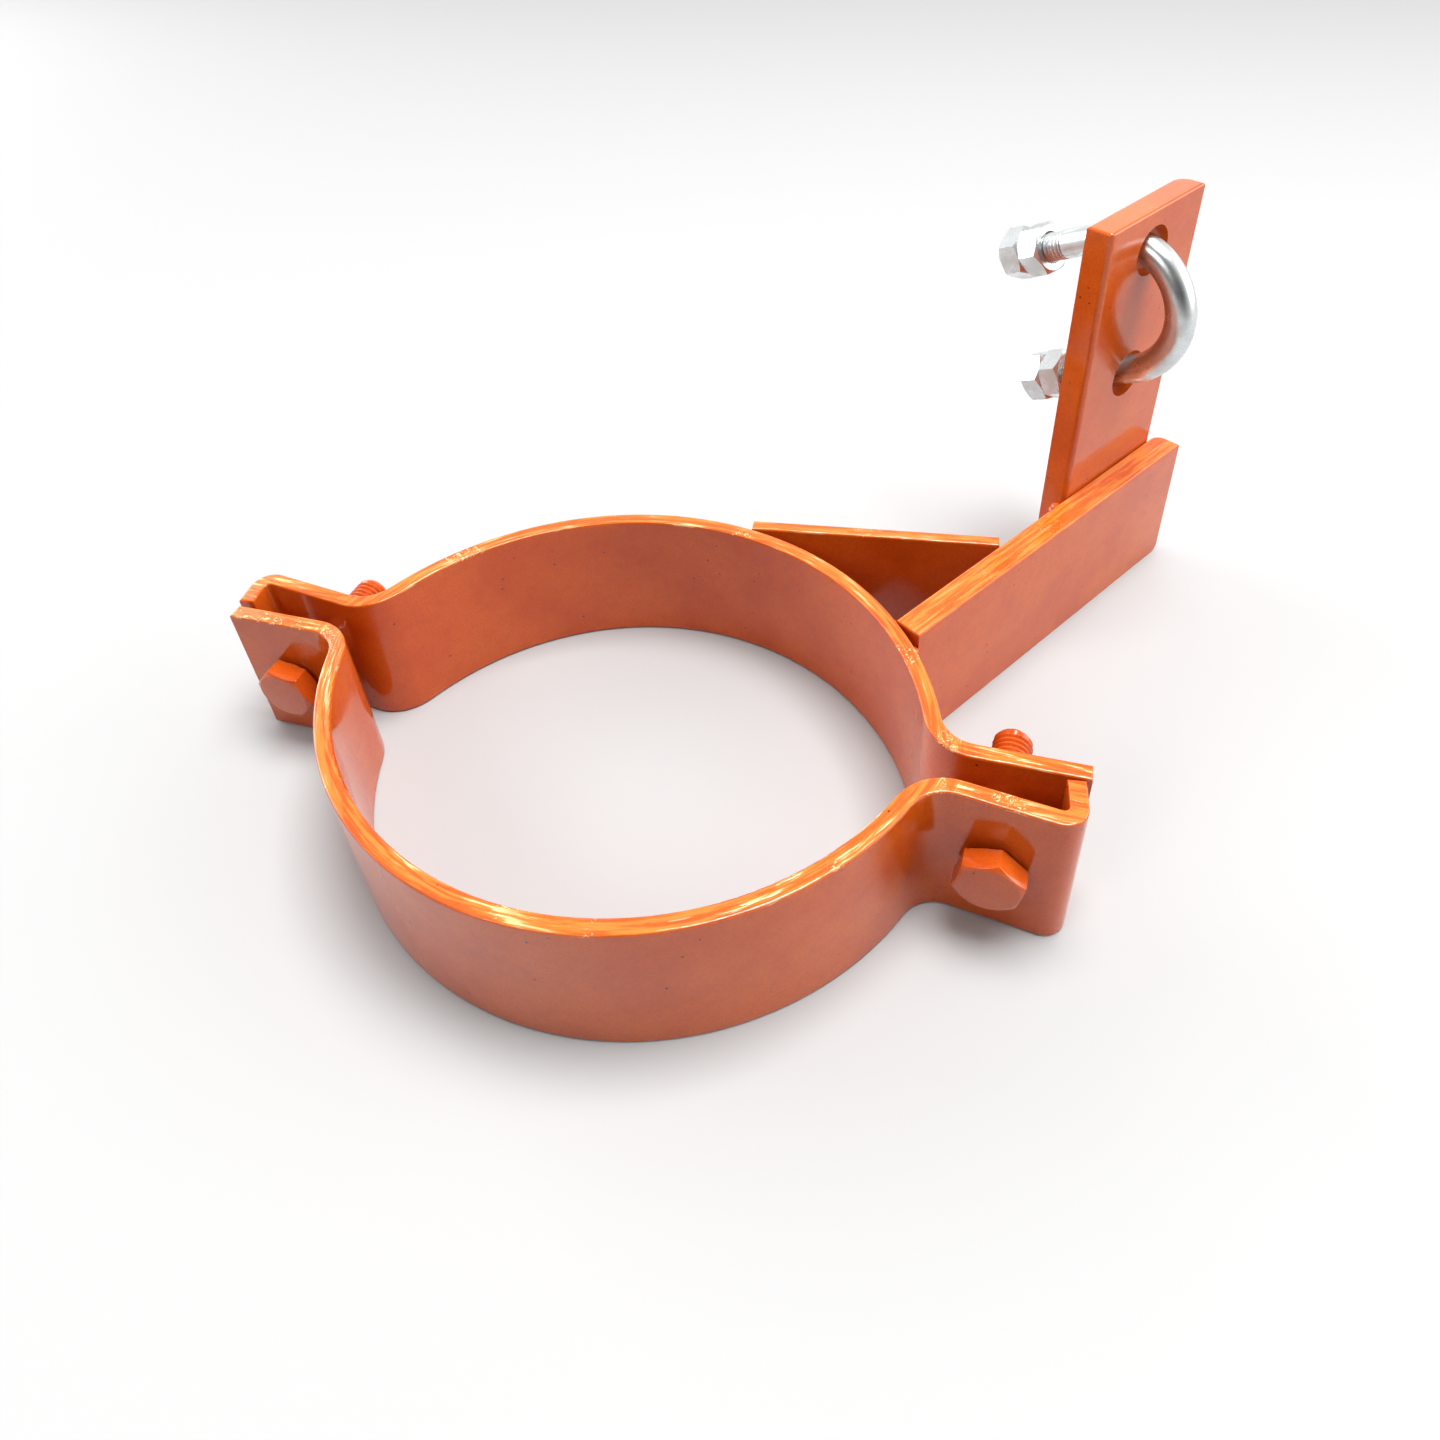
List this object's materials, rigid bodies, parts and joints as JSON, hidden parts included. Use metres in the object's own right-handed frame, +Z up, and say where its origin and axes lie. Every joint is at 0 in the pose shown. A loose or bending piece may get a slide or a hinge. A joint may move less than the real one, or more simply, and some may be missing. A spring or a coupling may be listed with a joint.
{
  "type": "pole band clamp",
  "caption": "Two-half strap clamp for a pole, with ears bolted at both sides and a welded, braced side arm that ends in an upright plate with a U-bolt.",
  "frame": {"origin": "middle of the hoop, on the pole's axis, level with the half bands' lower edges", "axes": "+Z up along the pole's axis; X through the two pairs of bolted ears; -Y towards the heads of the clamping bolts; the side arm runs out between +X and +Y"},
  "size_m": [0.2859, 0.2556, 0.1477],
  "materials": {
    "painted_strap": "gloss enamel over bent strap",
    "painted_bar": "gloss enamel over flat bar",
    "painted_weld": "gloss enamel over weld bead",
    "painted_fastener": "gloss enamel over bolt and nut",
    "zinc_rod": "bright zinc plate on round rod",
    "zinc_nut": "bright zinc plate on hexagon nuts"
  },
  "bodies": {
    "rear_weldment": {"rear_band": "painted_strap", "arm_bar": "painted_bar", "brace_bar": "painted_strap", "u_bolt_plate": "painted_bar", "arm_outer_weld": "painted_weld", "arm_inner_weld": "painted_weld", "brace_foot_weld": "painted_weld", "brace_tip_weld": "painted_weld", "plate_near_weld": "painted_weld", "plate_far_weld": "painted_weld"},
    "front_half": {"front_band": "painted_strap"},
    "right_bolt": {"right_ear_bolt": "painted_fastener"},
    "left_bolt": {"left_ear_bolt": "painted_fastener"},
    "right_nut": {"right_ear_nut": "painted_fastener"},
    "left_nut": {"left_ear_nut": "painted_fastener"},
    "rod": {"u_bolt": "zinc_rod"},
    "upper_nut": {"upper_leg_nut": "zinc_nut"},
    "upper_lock": {"upper_lock_nut": "zinc_nut"},
    "lower_nut": {"lower_leg_nut": "zinc_nut"},
    "lower_lock": {"lower_lock_nut": "zinc_nut"}
  },
  "joints": [
    {"name": "front_half_slide", "type": "slide", "parent": "rear_weldment", "child": "front_half", "axis": [0, -1, 0], "range_m": [0, 0.014]},
    {"name": "right_bolt_turn", "type": "hinge", "parent": "front_half", "child": "right_bolt", "pos_m": [0.111, 0, 0.025], "axis": [0, 1, 0], "continuous": true},
    {"name": "left_bolt_turn", "type": "hinge", "parent": "front_half", "child": "left_bolt", "pos_m": [-0.115, 0, 0.025], "axis": [0, 1, 0], "continuous": true},
    {"name": "right_nut_turn", "type": "hinge", "parent": "rear_weldment", "child": "right_nut", "pos_m": [0.111, 0.012, 0.025], "axis": [0, 1, 0], "continuous": true},
    {"name": "left_nut_turn", "type": "hinge", "parent": "rear_weldment", "child": "left_nut", "pos_m": [-0.115, 0.018, 0.025], "axis": [0, 1, 0], "continuous": true},
    {"name": "rod_tilt", "type": "hinge", "parent": "rear_weldment", "child": "rod", "pos_m": [0.12062, 0.14834, 0.11176], "axis": [0.5044, 0.8631, -0.0262], "range_deg": [0, 40]},
    {"name": "upper_nut_run", "type": "slide", "parent": "rod", "child": "upper_nut", "axis": [0.7786, -0.4414, 0.446], "range_m": [0, 0.007]},
    {"name": "upper_lock_turn", "type": "hinge", "parent": "upper_nut", "child": "upper_lock", "pos_m": [0.08726, 0.168, 0.11748], "axis": [-0.7786, 0.4414, -0.446], "continuous": true},
    {"name": "lower_nut_turn", "type": "hinge", "parent": "rod", "child": "lower_nut", "pos_m": [0.1064, 0.15564, 0.07879], "axis": [-0.7786, 0.4414, -0.446], "continuous": true},
    {"name": "lower_lock_turn", "type": "hinge", "parent": "rod", "child": "lower_lock", "pos_m": [0.1001, 0.15922, 0.07517], "axis": [-0.7786, 0.4414, -0.446], "continuous": true}
  ]
}
